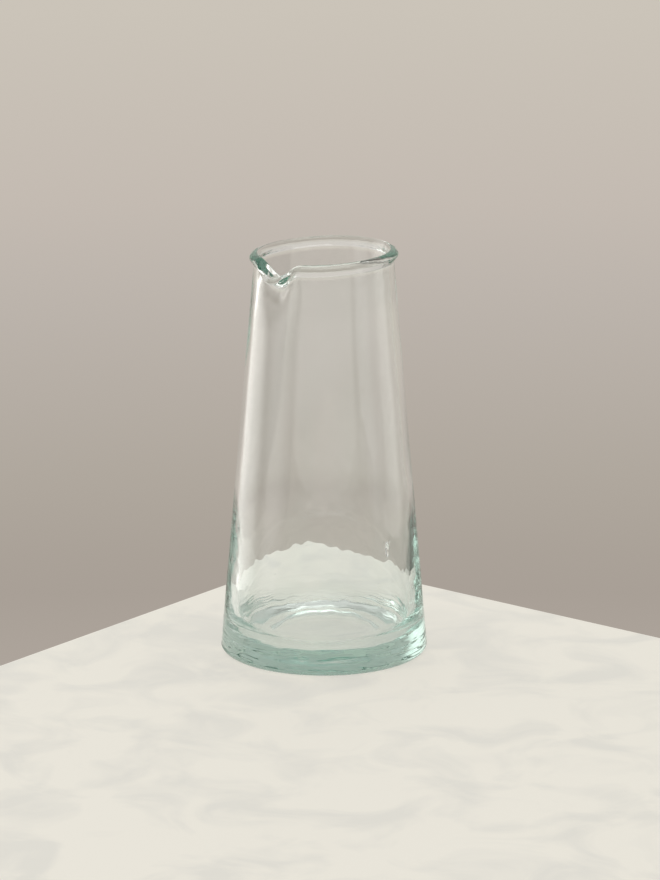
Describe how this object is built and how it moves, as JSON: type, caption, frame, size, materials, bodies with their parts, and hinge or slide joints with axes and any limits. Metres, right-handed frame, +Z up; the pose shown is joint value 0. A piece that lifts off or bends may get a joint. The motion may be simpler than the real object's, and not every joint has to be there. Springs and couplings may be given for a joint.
{
  "type": "wine decanter",
  "caption": "Open wine decanter in thick pale green glass: a straight tapering body on a heavy foot, with a rolled-out lip pinched into a V-shaped pouring notch.",
  "frame": {"origin": "centre of the foot, at the level of the table it stands on", "axes": "+Z up along the axis of the body, -Y towards the pouring notch"},
  "size_m": [0.11, 0.1099, 0.217],
  "materials": {
    "glass": "clear gloss, pale green where the glass is thick, with fine ripples and a few seeds"
  },
  "bodies": {
    "root": {"glass_vessel": "glass"}
  },
  "joints": []
}
